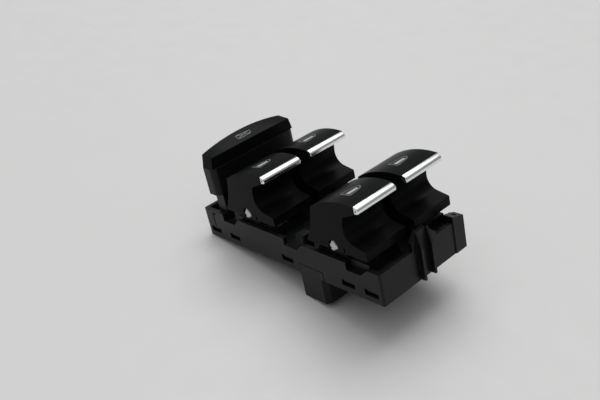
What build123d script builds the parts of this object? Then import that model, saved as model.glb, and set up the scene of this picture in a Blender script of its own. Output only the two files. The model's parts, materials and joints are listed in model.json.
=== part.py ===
from build123d import *
import math
import os

os.makedirs("parts", exist_ok=True)

# A driver's door window switch: a flat base box with a plug socket under it,
# four finger levers in two rows, and one wide window lock button at the back.
# Millimetres. +X points to the car's front, +Y to its left, +Z up. The origin
# is the middle of the base box at its underside.

# Base box
base_length = 100.0
base_height = 12.6
side_wall = 1.8
deck_thickness = 1.6
deck_drop = 3.0
corner_round = 0.8

# Levers: where they stand
lever_width = 19.5
column_gap = 4.6
side_reveal = 0.3
front_pivot_setback = 21.0
lock_pitch = 20.3
pivot_rise = 5.0
lever_swing = 8.0

# Lever outline, as reach along X and rise along Z from the pivot
back_reach = 13.7
back_waist_reach = 9.7
back_waist_rise = 7.1
back_top_reach = 8.0
back_top_rise = 13.7
crown_rise = 17.4
tip_reach = 13.7
tip_rise = 18.9
tip_under_rise = 16.0
grip_reach = 7.0
grip_rise = 8.4
grip_radius = 5.2
grip_turn_angle = 73.0
grip_root_reach = 8.0
grip_root_rise = 13.5
foot_reach = 16.4
foot_rise = 2.3
skirt_drop = 1.4
lever_wall = 1.2
side_slot_radius = 2.8
side_slot_reach = 0.4
side_slot_rise = 1.0
nick_reach = 5.3
nick_width = 0.6
nick_height = 2.2

# Bright strip on each lever's tip
strip_depth = 2.0
strip_rise = 0.3
strip_bevel = 0.6
strip_foot = 0.5
strip_foot_rise = 0.25
strip_tail = 1.4
strip_tail_height = 0.9
strip_edge_round = 0.3

# Rocker inside each lever: journals, side plates and two feet
journal_radius = 1.85
journal_arm_width = 1.4
journal_arms = ((95, 2.4), (186, 2.2), (242, 2.6), (352, 2.6))
rocker_plate = 1.2
rocker_half_width = 4.9
rocker_hub_radius = 2.6
rocker_front_reach = 4.6
rocker_back_reach = 6.8
foot_spread = 6.5
foot_thickness = 2.6
foot_width = 5.2
beam_height = 3.0
beam_top_drop = 0.4

# Tower round each rocker
tower_wall = 1.3
tower_gap = 0.8
tower_front_gap = 0.9
tower_back_reach = 10.8
tower_rise = 0.6
cheek_half_foot = 4.2
cheek_half_top = 3.1
cheek_crown = 1.2

# Light guides
guide_length = 3.0
guide_width = 2.8
guide_rise = 7.0
guide_flange = 0.9
guide_flange_thickness = 1.0

# Lock button
lock_setback = 10.6
lock_width = 43.2
lock_reveal = 0.5
lock_cap_depth = 6.4
lock_skirt_depth = 7.2
lock_skirt_proud = 0.2
lock_skirt_bottom = 20.9
lock_seam = 32.8
lock_end_draft = 1.1
lock_front_top = 37.6
lock_front_arch = 0.1
lock_back_end = 38.0
lock_back_arch = 2.5
lock_wall = 1.4
lock_front_round = 3.0
lock_back_round = 0.8
leg_width = 3.0
leg_depth = 5.2
leg_inset = 0.3
leg_lug = 0.8
lug_height = 1.6
lug_lip = 0.45
lock_stem_radius = 1.3
lock_stem_spread = 8.0

# Bottom cover, board and contact mat
cover_thickness = 1.6
board_thickness = 1.6
board_rise = 2.4
mat_thickness = 0.8
mat_end_gap = 4.0
mat_side_gap = 4.0
mat_chip_gap = 0.8
mat_pin_gap = 0.6
mat_lamp_gap = 1.2
dome_height = 2.4
dome_radius = 3.1
dome_top_radius = 1.9
dome_well = 2.2
dome_roof = 0.6
tongue_thickness = 1.2
tongue_side_gap = 0.7
wedge_reach = 1.35
wedge_nose = 0.9
wedge_start = 0.2
rest_size = 2.8
rest_end_gap = 12.0
rest_middle_reach = -9.6
rest_side_gap = 10.0

# Side windows that the cover's tongues snap into
window_bottom = 2.3
window_height = 2.4
window_width = 6.4
window_back_setbacks = (5.4, 18.2)
window_front_setbacks = (5.4, 16.6)
window_middle_reach = 0.8

# Thin slits that free a latch arm in each side wall, beside the back corner
slit_width = 0.6
slit_length = 2.4
slit_top_drop = 0.9

# Notches in the top edge of each side wall
notch_flat = 6.8
notch_ramp = 3.5
notch_back_setback = 13.0
notch_middle_reach = 0.9
notch_front_setback = 16.1

# Raised tab, ribs and corner block on the front end
tab_near_reach = 5.2
tab_near_rise = 3.0
tab_shoulder = 2.6
tab_rise = 6.0
tab_flat_reach = 2.4
tab_far_reach = 7.4
tab_far_rise = 1.4
rib_places = (-2.5, 2.9)
rib_reach = 2.0
rib_thickness = 1.0
rib_tip = 0.6
block_length = 3.9
block_width = 5.8
block_proud = 0.4
block_rise = 2.4
block_fall = 1.7
block_wall = 1.1
block_slot_length = 2.0
block_slot_width = 1.3

# Ribbed post between the two rows
post_setback = 3.7
post_size = 4.0
post_top_gap = 0.4
post_rib = 0.4
post_rib_pitch = 0.8
post_rib_count = 5

# Plug socket under the base
socket_reach = 7.2
socket_length = 13.0
socket_width = 25.0
socket_depth = 10.7
socket_wall = 1.5
socket_chamfer = 1.8
socket_tongue_rise = 3.6
pin_size = 0.64
pin_pitch = 4.0
pin_row_gap = 5.5
pins_in_row = 5
pin_reach = 6.0
pin_stub = 0.8
pin_point = 0.15

# Lamps and chip on the board
lamp_length = 1.6
lamp_width = 1.4
lamp_height = 0.5
lens_size = 0.9
lens_height = 0.25
chip_length = 8.0
chip_width = 5.0
chip_height = 1.4
chip_gap = 0.1
chip_setback = 4.0
lead_count = 7
lead_pitch = 1.1
lead_width = 0.4
lead_thickness = 0.2
lead_reach = 1.3
lead_rise = 0.8

# Clearances
fixed_gap = 0.1
touch_gap = 0.05
bearing_gap = 0.05
slide_gap = 0.3
press_gap = 0.2
tongue_slit = 0.25

# Worked out from the sizes above
levers_width = 2 * lever_width + column_gap
base_width = max(levers_width + 2 * side_reveal, lock_width + 2 * lock_reveal)
back_end = -base_length / 2
front_end = base_length / 2
side_face = base_width / 2
inner_face = side_face - side_wall
inner_length = base_length - 2 * side_wall
inner_width = base_width - 2 * side_wall
deck_top = base_height - deck_drop
deck_under = deck_top - deck_thickness
pivot_z = base_height + pivot_rise
skirt_bottom = pivot_z - skirt_drop
over_levers = pivot_z + tip_rise + strip_depth
lever_y = side_face - side_reveal - lever_width / 2
lock_x = back_end + lock_setback
lock_skirt_width = lock_width + 2 * lock_skirt_proud
row_pitch = base_length - front_pivot_setback - lock_setback - lock_pitch
pivot_x = {
    "front": front_end - front_pivot_setback,
    "rear": front_end - front_pivot_setback - row_pitch,
}
side_y = {"left": lever_y, "right": -lever_y}
board_top = board_rise + board_thickness
mat_top = board_top + mat_thickness
dome_top = mat_top + dome_height
foot_bottom = dome_top + press_gap
tower_half_width = lever_width / 2 - lever_wall - tower_gap
tower_front_reach = foot_reach - lever_wall - tower_front_gap
tower_top = base_height + tower_rise
cheek_top = pivot_z + journal_radius + cheek_crown
foot_reach_out = foot_spread + foot_thickness / 2
foot_swing = (pivot_z - foot_bottom) * math.sin(math.radians(lever_swing))
socket_back = socket_reach
socket_front = socket_reach + socket_length
chip_x = socket_back - chip_setback
window_x = (
    [back_end + setback for setback in window_back_setbacks]
    + [window_middle_reach]
    + [front_end - setback for setback in window_front_setbacks]
)
notch_x = (back_end + notch_back_setback, notch_middle_reach, front_end - notch_front_setback)

low = (Align.CENTER, Align.CENTER, Align.MIN)


def block(x_from, x_to, y_from, y_to, z_from, z_to):
    """A box between two corners."""
    size = Box(x_to - x_from, y_to - y_from, z_to - z_from, align=(Align.MIN,) * 3)
    return Pos(x_from, y_from, z_from) * size


def across(outline, half_width):
    """A solid with the given outline in X and Z, centred on Y."""
    face = Plane.XZ * outline
    return extrude(face, amount=half_width, both=True)


def outline_of(*edges):
    """A flat face inside a closed run of edges."""
    return make_face(Curve() + list(edges))


def polygon(points):
    """A flat face with straight sides."""
    return make_face(Polyline(*points, close=True))


def levers():
    """Each lever's name with the place of its pivot."""
    return {
        row + "_" + side: Pos(x, y, 0)
        for row, x in pivot_x.items()
        for side, y in side_y.items()
    }


# Lever cap

def lever_outline():
    """The lever seen from the side, drawn on below its skirt."""
    deep = pivot_z - beam_height - 2 * lever_wall
    back_bottom = (-back_reach, skirt_bottom)
    back_waist = (-back_waist_reach, pivot_z + back_waist_rise)
    back_top = (-back_top_reach, pivot_z + back_top_rise)
    tip_top = (tip_reach, pivot_z + tip_rise)
    tip_under = (tip_reach, pivot_z + tip_under_rise)
    root = (grip_root_reach, pivot_z + grip_root_rise)
    grip = (grip_reach, pivot_z + grip_rise)
    grip_middle = ((grip_root_reach + 3 * grip_reach) / 4, (root[1] + grip[1]) / 2)
    foot_top = (foot_reach, pivot_z + foot_rise)
    return outline_of(
        Line((-back_reach, deep), back_bottom),
        ThreePointArc(back_bottom, back_waist, back_top),
        ThreePointArc(back_top, (0, pivot_z + crown_rise), tip_top),
        Line(tip_top, tip_under),
        Line(tip_under, root),
        ThreePointArc(root, grip_middle, grip),
        ThreePointArc(grip, grip_turn(grip_turn_angle / 2), grip_turn(grip_turn_angle)),
        Line(grip_turn(grip_turn_angle), foot_top),
        Line(foot_top, (foot_reach, deep)),
        Line((foot_reach, deep), (-back_reach, deep)),
    )


def grip_turn(angle):
    """A point on the round at the bottom of the finger grip."""
    turned = math.radians(180 + angle)
    x = grip_reach + grip_radius * (1 + math.cos(turned))
    return (x, pivot_z + grip_rise + grip_radius * math.sin(turned))


def lever_hollow(extra):
    """The room inside a lever cap, smaller by extra all round."""
    inset = lever_wall + extra
    return across(offset(lever_outline(), -inset), lever_width / 2 - inset)


def make_lever():
    """A cap: a thin shell open below, with a finger grip under its tip."""
    cap = across(lever_outline(), lever_width / 2) - lever_hollow(0)
    cap &= block(-back_reach, foot_reach, -lever_width, lever_width, skirt_bottom, over_levers)
    cap -= tail_rib(touch_gap)
    nick = block(nick_reach, nick_reach + nick_width, -lever_width, lever_width,
                 skirt_bottom, skirt_bottom + nick_height)
    return cap - side_slot() - nick


def side_slot():
    """The slot in both sides of a cap, round above and open below."""
    middle = pivot_z + side_slot_rise
    turn = Pos(side_slot_reach, 0, middle) * Rot(90, 0, 0) * Cylinder(side_slot_radius, 2 * lever_width)
    return turn + block(side_slot_reach - side_slot_radius, side_slot_reach + side_slot_radius,
                        -lever_width, lever_width, skirt_bottom - skirt_drop, middle)


def tail_rib(gap):
    """The rib that plugs the bright strip into the cap, larger by a gap."""
    middle = pivot_z + (tip_rise + tip_under_rise) / 2
    half_height = strip_tail_height / 2 + gap
    half_width = lever_width / 2 - lever_wall - touch_gap + gap
    return block(tip_reach - strip_tail - gap, tip_reach, -half_width, half_width,
                 middle - half_height, middle + half_height)


def make_strip():
    """The bright strip that finishes a lever's tip, with its rib."""
    face = tip_reach + strip_depth
    under = pivot_z + tip_under_rise
    section = polygon([
        (tip_reach, pivot_z + tip_rise),
        (tip_reach + strip_bevel, pivot_z + tip_rise + strip_rise),
        (face, under + strip_foot),
        (face - strip_foot, under + strip_foot_rise),
        (tip_reach, under),
    ])
    strip = across(section, lever_width / 2)
    long_edges = strip.edges().filter_by(Axis.Y)
    front = long_edges.filter_by(lambda edge: edge.center().X > tip_reach + touch_gap)
    return fillet(front, strip_edge_round) + tail_rib(0)


# Rocker

def rocker_side():
    """A rocker's side plate: it fills the cap's height and carries both feet."""
    beam_under = pivot_z - beam_height
    return polygon([
        (-foot_reach_out, beam_under),
        (foot_reach_out, beam_under),
        (foot_reach_out, pivot_z - beam_top_drop),
        (rocker_front_reach, pivot_z + rocker_hub_radius),
        (rocker_front_reach, over_levers),
        (-rocker_back_reach, over_levers),
        (-rocker_back_reach, pivot_z + 2 * rocker_hub_radius),
        (-foot_reach_out, pivot_z),
    ])


def make_rocker():
    """The white frame that turns in the tower and presses the mat's domes."""
    plates = across(rocker_side(), rocker_half_width)
    inside = across(rocker_side(), rocker_half_width - rocker_plate)
    roof = lever_hollow(touch_gap + rocker_plate)
    roof += block(-back_reach, foot_reach, -lever_width, lever_width, 0, pivot_z)
    rocker = plates & lever_hollow(touch_gap)
    rocker -= inside & roof
    for end in (-1, 1):
        rocker += Pos(end * foot_spread, 0, 0) * rocker_foot()
        rocker += journal(end)
    return rocker


def rocker_foot():
    """A beam across the rocker with the foot under it."""
    half = foot_thickness / 2
    beam_under = pivot_z - beam_height
    beam = block(-half, half, -rocker_half_width, rocker_half_width, beam_under, pivot_z - beam_top_drop)
    return beam + block(-half, half, -foot_width / 2, foot_width / 2, foot_bottom, beam_under)


def journal(end):
    """A hub, a journal and its starred end, which shows in the cap's side slot."""
    hub_end = tower_half_width - tower_wall - slide_gap / 2
    star_start = tower_half_width + slide_gap / 2
    star_end = lever_width / 2 - slide_gap
    bar = round_bar(rocker_hub_radius, end * rocker_half_width, end * hub_end)
    bar += round_bar(journal_radius, end * hub_end, end * star_end)
    for angle, reach in journal_arms:
        arm = Rectangle(reach, journal_arm_width, align=(Align.MIN, Align.CENTER))
        star = extrude(Plane.XZ * (Rot(0, 0, angle) * arm), amount=-end * (star_end - star_start))
        bar += Pos(0, end * star_start, pivot_z) * star
    return bar


def round_bar(radius, y_from, y_to):
    """A cylinder on the pivot axis between two places along Y."""
    middle = (y_from + y_to) / 2
    return Pos(0, middle, pivot_z) * Rot(90, 0, 0) * Cylinder(radius, abs(y_to - y_from))


# Light guides

def make_light_guide():
    """A clear rod that lifts the lamp's light to a lever's pictogram."""
    rod = Pos(0, 0, mat_top) * Box(guide_length, guide_width, pivot_z + guide_rise - mat_top, align=low)
    flange = Box(guide_length + 2 * guide_flange, guide_width + 2 * guide_flange,
                 guide_flange_thickness, align=low)
    return rod + Pos(0, 0, deck_top) * flange


def guide_hole():
    """The hole in the deck that a light guide passes through."""
    return Box(guide_length + 2 * fixed_gap, guide_width + 2 * fixed_gap, base_height, align=low)


# Housing

def make_tower():
    """The hollow tower a rocker turns in, with a bearing in each cheek."""
    half = tower_half_width
    tower = block(-tower_back_reach, tower_front_reach, -half, half, deck_under, tower_top)
    cheek = polygon([
        (-cheek_half_foot, deck_top),
        (cheek_half_foot, deck_top),
        (cheek_half_foot, tower_top),
        (cheek_half_top, cheek_top),
        (-cheek_half_top, cheek_top),
        (-cheek_half_foot, tower_top),
    ])
    tower += across(cheek, half)
    tower -= block(-tower_back_reach + tower_wall, tower_front_reach - tower_wall,
                   -half + tower_wall, half - tower_wall, deck_top, over_levers)
    return tower - round_bar(journal_radius + bearing_gap, -lever_width, lever_width)


def tower_openings():
    """What a tower leaves open in the deck: two foot slots and a guide hole."""
    near = foot_spread - foot_thickness / 2 - foot_swing
    far = foot_reach_out + foot_swing
    half = foot_width / 2 + slide_gap
    holes = block(near, far, -half, half, 0, base_height)
    holes += block(-far, -near, -half, half, 0, base_height)
    return holes + guide_hole()


def side_notch(start, side):
    """A notch in a side wall's top edge: upright behind, a ramp in front."""
    above = base_height + deck_drop
    ramp_end = start + notch_flat + notch_ramp * (above - deck_top) / deck_drop
    shape = polygon([(start, deck_top), (start + notch_flat, deck_top), (ramp_end, above), (start, above)])
    return Pos(0, side * side_face, 0) * across(shape, side_wall)


def latch_slit(side):
    """The thin slit that frees a latch arm beside the back corner."""
    x = window_x[0]
    top = base_height - slit_top_drop
    upright = block(x, x + slit_width, -side_wall, side_wall, window_bottom, top)
    return Pos(0, side * side_face, 0) * (
        upright + block(x, x + slit_length, -side_wall, side_wall, top - slit_width, top))


def end_tab():
    """The raised tab in the middle of the front end, with its two ribs."""
    outline = [
        (-tab_near_reach, deck_top),
        (-tab_near_reach, base_height + tab_near_rise),
        (-tab_shoulder, base_height + tab_rise),
        (tab_flat_reach, base_height + tab_rise),
        (tab_far_reach, base_height + tab_far_rise),
        (tab_far_reach, deck_top),
    ]
    tab = extrude(Plane.YZ * polygon(outline), amount=side_wall)
    tab = Pos(front_end - side_wall, 0, 0) * tab
    for y in rib_places:
        tab += Pos(front_end, y, 0) * end_rib()
    return tab


def end_rib():
    """An upright rib on the front end, sloped back towards the tab's top."""
    top = base_height + tab_rise
    side = polygon([(0, 0), (rib_reach, 0), (rib_reach, base_height), (rib_tip, top), (0, top)])
    return across(side, rib_thickness / 2)


def corner_block():
    """The block in the far front corner, a little proud of the end."""
    x = front_end - block_length
    near = side_face - block_width
    top = base_height + block_rise
    outline = [(near, 0), (side_face, 0), (side_face, top - block_fall), (near, top)]
    solid = Pos(x, 0, 0) * extrude(Plane.YZ * polygon(outline), amount=block_length + block_proud)
    room = block(x, front_end - side_wall, near, side_face, 0, deck_under)
    slot_x = x + block_wall
    slot_y = inner_face - block_slot_width
    slot = block(slot_x, slot_x + block_slot_length, slot_y, inner_face, deck_top, top)
    return solid - room - slot


def ribbed_post():
    """A small post with upright ribs between the two rows of levers."""
    x = pivot_x["front"] - back_reach - post_setback - post_size
    top = skirt_bottom - post_top_gap
    post = block(x, x + post_size, -inner_face, -inner_face + post_size, deck_top, top)
    for index in range(post_rib_count):
        rib_x = x + index * post_rib_pitch
        post += block(rib_x, rib_x + post_rib, -inner_face - post_rib, -inner_face, deck_top, top)
    return post


def make_housing():
    """The base box: side walls, a deck, four towers and the button's guides."""
    box = Box(base_length, base_width, base_height, align=low)
    box = fillet(box.edges().filter_by(Axis.Z), corner_round)
    box -= Box(inner_length, inner_width, deck_under, align=low)
    box -= Pos(0, 0, deck_top) * Box(inner_length, inner_width, base_height, align=low)
    for place in levers().values():
        box += place * make_tower()
    for place in levers().values():
        box -= place * tower_openings()
    for start in notch_x:
        box -= side_notch(start, -1) + side_notch(start, 1)
    for x in window_x:
        box -= block(x - window_width / 2, x + window_width / 2, -base_width, base_width,
                     window_bottom, window_bottom + window_height)
    for side in (-1, 1):
        box -= latch_slit(side)
        box -= leg_place(side) * leg_slot()
        box -= Pos(lock_x, side * lock_stem_spread, 0) * Cylinder(
            lock_stem_radius + slide_gap, base_height, align=low)
    box -= Pos(lock_x, 0, 0) * guide_hole()
    box += end_tab()
    box += ribbed_post()
    box += corner_block()
    return box - block(socket_back, socket_front + tongue_slit, -side_face - side_wall,
                       -inner_face, 0, socket_tongue_rise + tongue_slit)


# Lock button

def leg_place(side):
    """Where a guide leg of the lock button stands."""
    y = inner_face - slide_gap - leg_width / 2
    return Pos(lock_x + (lock_skirt_depth - leg_depth) / 2 - leg_inset, side * y, 0)


def leg_slot():
    """The slot in the deck that guides a leg."""
    return Box(leg_depth + 2 * slide_gap, leg_width + 2 * slide_gap, base_height, align=low)


def lock_section(end_top, arch):
    """The cap seen from the end of the base: drafted ends and an arched top."""
    foot = lock_width / 2
    head = foot - lock_end_draft
    return outline_of(
        Line((-foot, lock_seam), (-head, end_top)),
        ThreePointArc((-head, end_top), (0, end_top + arch), (head, end_top)),
        Line((head, end_top), (foot, lock_seam)),
        Line((foot, lock_seam), (-foot, lock_seam)),
    )


def make_lock_cap():
    """The button's cap: its back edge is arched and its front edge straight."""
    half = lock_cap_depth / 2
    solid = loft([
        Pos(lock_x - half, 0, 0) * (Plane.YZ * lock_section(lock_back_end, lock_back_arch)),
        Pos(lock_x + half, 0, 0) * (Plane.YZ * lock_section(lock_front_top, lock_front_arch)),
    ])
    room = Box(lock_cap_depth - 2 * lock_wall, lock_width - 2 * (lock_wall + lock_end_draft),
               lock_front_top - lock_wall - lock_seam, align=low)
    return solid - Pos(lock_x, 0, lock_seam) * room


def make_lock_skirt():
    """The button's lower half: a deep skirt with guide legs and two stems."""
    height = lock_seam - lock_skirt_bottom
    skirt = Box(lock_skirt_depth, lock_skirt_width, height, align=low)
    upright = skirt.edges().filter_by(Axis.Z)
    skirt = fillet(upright.sort_by(Axis.X)[2:], lock_front_round)
    skirt = fillet(skirt.edges().filter_by(Axis.Z).sort_by(Axis.X)[:2], lock_back_round)
    skirt -= Box(lock_skirt_depth - 2 * lock_wall, lock_skirt_width - 2 * lock_wall,
                 height - lock_wall, align=low)
    skirt = Pos(lock_x, 0, lock_skirt_bottom) * skirt
    for side in (-1, 1):
        skirt += leg_place(side) * lock_leg()
        stem = Cylinder(lock_stem_radius, lock_seam - lock_wall - foot_bottom, align=low)
        skirt += Pos(lock_x, side * lock_stem_spread, foot_bottom) * stem
    passage = Box(guide_length + 2 * fixed_gap, guide_width + 2 * fixed_gap, 2 * height, align=low)
    return skirt - Pos(lock_x, 0, lock_skirt_bottom) * passage


def lock_leg():
    """A guide leg with the lug that catches under the deck."""
    bottom = deck_under - lug_height
    leg = Pos(0, 0, bottom) * Box(leg_depth, leg_width, lock_seam - lock_wall - bottom, align=low)
    face = leg_depth / 2
    catch = deck_under - touch_gap
    lug = polygon([
        (face - touch_gap, catch), (face + leg_lug, catch),
        (face + leg_lug, catch - lug_lip), (face - touch_gap, bottom)])
    return leg + across(lug, leg_width / 2)


def make_lock_guide():
    """The clear rod that lights the lock button's pictogram."""
    bottom = deck_top + guide_flange_thickness
    rod = Box(guide_length, guide_width, lock_front_top - lock_wall - bottom - touch_gap, align=low)
    return Pos(lock_x, 0, bottom) * rod


# Bottom cover

def make_cover():
    """The cover: a plate with snap tongues, board rests and the plug socket."""
    plate = Box(inner_length - 2 * fixed_gap, inner_width - 2 * fixed_gap, cover_thickness, align=low)
    for x in window_x:
        tongue = snap_tongue()
        plate += Pos(x, 0, 0) * tongue
        plate += Pos(x, 0, 0) * mirror(tongue, about=Plane.XZ)
    for x in (back_end + rest_end_gap, rest_middle_reach, front_end - rest_end_gap):
        for side in (-1, 1):
            plate += Pos(x, side * (inner_face - rest_side_gap), 0) * Box(
                rest_size, rest_size, board_rise, align=low)
    return plate + plug_socket() - pin_holes(pin_size + 2 * fixed_gap)


def snap_tongue():
    """A springy tongue whose wedge snaps into a side window."""
    width = window_width - 2 * tongue_side_gap
    edge = inner_face - fixed_gap
    top = window_bottom + window_height - fixed_gap
    tongue = block(-width / 2, width / 2, edge - tongue_thickness, edge, 0, top)
    wedge = polygon([
        (edge, window_bottom + wedge_start), (edge + wedge_reach, top - wedge_nose),
        (edge + wedge_reach, top), (edge, top)])
    return tongue + extrude(Plane.YZ * wedge, amount=width / 2, both=True)


def plug_socket():
    """The open-bottomed shroud that takes the car's plug."""
    near = -side_face
    far = near + socket_width
    shroud = block(socket_back, socket_front, near, far, -socket_depth, 0)
    corner = shroud.edges().filter_by(Axis.Z).sort_by(Axis.Y)[:2].sort_by(Axis.X)[-1]
    shroud = chamfer(corner, socket_chamfer)
    shroud -= block(socket_back + socket_wall, socket_front - socket_wall, near + socket_wall,
                    far - socket_wall, -socket_depth, 0)
    tongue = block(socket_back + fixed_gap, socket_front - fixed_gap, near,
                   -inner_face + fixed_gap, 0, socket_tongue_rise)
    return shroud + tongue


def pin_places():
    """Places of the contact pins in the socket."""
    x = (socket_back + socket_front) / 2
    y = -side_face + socket_width / 2
    return [
        Pos(x + row * pin_row_gap / 2, y + (index - (pins_in_row - 1) / 2) * pin_pitch, 0)
        for row in (-1, 1)
        for index in range(pins_in_row)
    ]


def pin_holes(size):
    """Square holes for the pins."""
    hole = Pos(0, 0, -socket_depth) * Box(size, size, socket_depth + base_height, align=low)
    return Part() + [place * hole for place in pin_places()]


def make_pins():
    """The contact pins: one group of like pieces."""
    pin = Pos(0, 0, -pin_reach) * Box(pin_size, pin_size, pin_reach + board_top + pin_stub, align=low)
    pin = chamfer(pin.faces().sort_by(Axis.Z)[0].edges(), pin_point)
    return Compound(children=[place * pin for place in pin_places()])


# Board, mat and what stands on the board

def make_board():
    """The circuit board, with holes for the pins."""
    width = inner_width - 2 * (fixed_gap + tongue_thickness + slide_gap)
    board = Box(inner_length - 2 * (fixed_gap + slide_gap), width, board_thickness, align=low)
    board = Pos(0, 0, board_rise) * board
    return board - pin_holes(pin_size + 2 * touch_gap)


def dome_places():
    """Places of the mat's domes: two under each lever, two under the button."""
    places = [
        place * Pos(end * foot_spread, 0, 0)
        for place in levers().values()
        for end in (-1, 1)
    ]
    return places + [Pos(lock_x, end * lock_stem_spread, 0) for end in (-1, 1)]


def make_mat():
    """The silicone mat: one sheet with a dome over each contact."""
    length = inner_length - 2 * mat_end_gap
    width = inner_width - 2 * mat_side_gap
    sheet = Pos(0, 0, board_top) * Box(length, width, mat_thickness, align=low)
    chip_half = chip_width / 2 + lead_reach + mat_chip_gap
    sheet -= Pos(chip_x, 0, 0) * Box(2 * chip_half, chip_length + 2 * mat_chip_gap, base_height, align=low)
    sheet -= pin_holes(pin_size + 2 * mat_pin_gap)
    dome = Pos(0, 0, mat_top) * Cone(dome_radius, dome_top_radius, dome_height, align=low)
    well = Pos(0, 0, board_top) * Box(
        dome_well, dome_well, mat_thickness + dome_height - dome_roof, align=low)
    for place in dome_places():
        sheet += place * dome
    for place in dome_places():
        sheet -= place * well
    for place in lamp_places():
        sheet -= place * Box(lamp_length + 2 * mat_lamp_gap, lamp_width + 2 * mat_lamp_gap,
                             base_height, align=low)
    return sheet


def lamp_places():
    """Places of the small lamps: one under each pictogram."""
    return list(levers().values()) + [Pos(lock_x, 0, 0)]


def make_lamps():
    """The small white lamps on the board: one group of like pieces."""
    body = Pos(0, 0, board_top) * Box(lamp_length, lamp_width, lamp_height, align=low)
    lens = Pos(0, 0, board_top + lamp_height) * Box(lens_size, lens_size, lens_height, align=low)
    return Compound(children=[place * (body + lens) for place in lamp_places()])


def make_chip():
    """The control chip, with bent leads on two sides."""
    body = Pos(0, 0, board_top + chip_gap) * Box(chip_width, chip_length, chip_height, align=low)
    for index in range(lead_count):
        y = (index - (lead_count - 1) / 2) * lead_pitch
        body += Pos(0, y, board_top) * lead_pair()
    return Pos(chip_x, 0, 0) * body


def lead_pair():
    """Two leads in line: out of the body, down and out again on the board."""
    side = chip_width / 2
    outline = [
        (side - lead_thickness, lead_rise), (side - lead_thickness, lead_rise - lead_thickness),
        (side + lead_reach / 2 - lead_thickness, lead_rise - lead_thickness),
        (side + lead_reach / 2 - lead_thickness, 0), (side + lead_reach, 0),
        (side + lead_reach, lead_thickness), (side + lead_reach / 2, lead_thickness),
        (side + lead_reach / 2, lead_rise),
    ]
    lead = across(polygon(outline), lead_width / 2)
    return lead + mirror(lead, about=Plane.YZ)


def write(name, solid):
    """Name a finished piece and write it."""
    solid.label = name
    export_step(solid, os.path.join("parts", name + ".step"))


write("housing", make_housing())
write("bottom_cover", make_cover())
write("circuit_board", make_board())
write("contact_mat", make_mat())
write("connector_pins", make_pins())
write("board_lamps", make_lamps())
write("control_chip", make_chip())
write("lock_cap", make_lock_cap())
write("lock_skirt", make_lock_skirt())
write("lock_light_guide", make_lock_guide())

lever_cap = make_lever()
lever_strip = make_strip()
lever_rocker = make_rocker()
lever_guide = make_light_guide()
for lever, place in levers().items():
    write(lever + "_lever", place * lever_cap)
    write(lever + "_strip", place * lever_strip)
    write(lever + "_rocker", place * lever_rocker)
    write(lever + "_light_guide", place * lever_guide)
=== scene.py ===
import json
import math

import bmesh
import bpy
from bpy.props import FloatProperty, FloatVectorProperty, IntProperty, PointerProperty
from mathutils import Matrix, Vector
from mathutils.bvhtree import BVHTree


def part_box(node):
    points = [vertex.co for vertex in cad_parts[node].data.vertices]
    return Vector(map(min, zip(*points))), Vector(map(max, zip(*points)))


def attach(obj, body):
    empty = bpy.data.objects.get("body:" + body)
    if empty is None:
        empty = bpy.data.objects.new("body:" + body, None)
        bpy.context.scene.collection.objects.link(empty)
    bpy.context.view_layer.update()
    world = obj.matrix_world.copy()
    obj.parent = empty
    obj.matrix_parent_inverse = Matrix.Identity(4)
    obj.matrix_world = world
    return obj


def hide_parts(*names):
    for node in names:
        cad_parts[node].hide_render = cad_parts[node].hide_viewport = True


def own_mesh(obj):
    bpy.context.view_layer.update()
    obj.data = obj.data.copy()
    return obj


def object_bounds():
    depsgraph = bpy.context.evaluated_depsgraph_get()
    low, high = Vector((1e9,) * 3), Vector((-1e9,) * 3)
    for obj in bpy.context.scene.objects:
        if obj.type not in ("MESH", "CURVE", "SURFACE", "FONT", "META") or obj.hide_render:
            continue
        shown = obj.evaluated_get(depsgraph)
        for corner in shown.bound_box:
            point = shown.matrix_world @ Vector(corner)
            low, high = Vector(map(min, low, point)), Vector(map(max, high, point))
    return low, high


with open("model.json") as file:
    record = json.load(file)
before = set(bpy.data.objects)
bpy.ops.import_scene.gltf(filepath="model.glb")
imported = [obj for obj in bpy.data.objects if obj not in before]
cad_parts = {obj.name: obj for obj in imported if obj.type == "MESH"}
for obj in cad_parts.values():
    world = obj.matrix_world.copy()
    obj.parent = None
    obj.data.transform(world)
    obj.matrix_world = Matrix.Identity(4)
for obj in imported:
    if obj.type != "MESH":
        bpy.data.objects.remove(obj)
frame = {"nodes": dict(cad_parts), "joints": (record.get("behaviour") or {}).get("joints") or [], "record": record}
cad_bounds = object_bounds()

bl_info = {
    "name": "Power window switch",
    "version": (1, 0, 0),
    "blender": (4, 5, 0),
    "location": "3D View > Sidebar > Window switch",
    "description": "Dresses the switch: moulded housing, finger levers, bright strips and pictograms",
    "category": "Object",
}

MM = 0.001
LEVERS = ("front_left", "front_right", "rear_left", "rear_right")

# Tone that a full film of dust adds to a colour
DUST_TONE = 0.35

# Angles in degrees: shading breaks at edges sharper than the first two, edges sharper than the third
# are rounded, and neighbouring faces that differ by less than the last are made one
SHARP_ANGLE = 40
STRIP_SHARP_ANGLE = 50
ROUND_ANGLE = 32
FLAT_ANGLE = 0.5

# Bright strip: reach and rise from its lever's pivot, and radii, in millimetres
STRIP_BACK = 13.7
STRIP_TOP = 18.92
STRIP_BOTTOM = 16.0
STRIP_FRONT = (13.9, 17.35)
STRIP_FRONT_RADII = (1.80, 1.55)
STRIP_LIP = (14.9, 16.85)
STRIP_LIP_RADII = (0.78, 0.62)
STRIP_MIDDLE = 17.45
STRIP_HOLE_REACH = 14.6
STRIP_DEPTH = 1.7
STRIP_END_STEPS = 5
RIB_REACH = 14.0
RIB_INSET = 1.3
RIB_HALF_HEIGHT = 0.44

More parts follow.
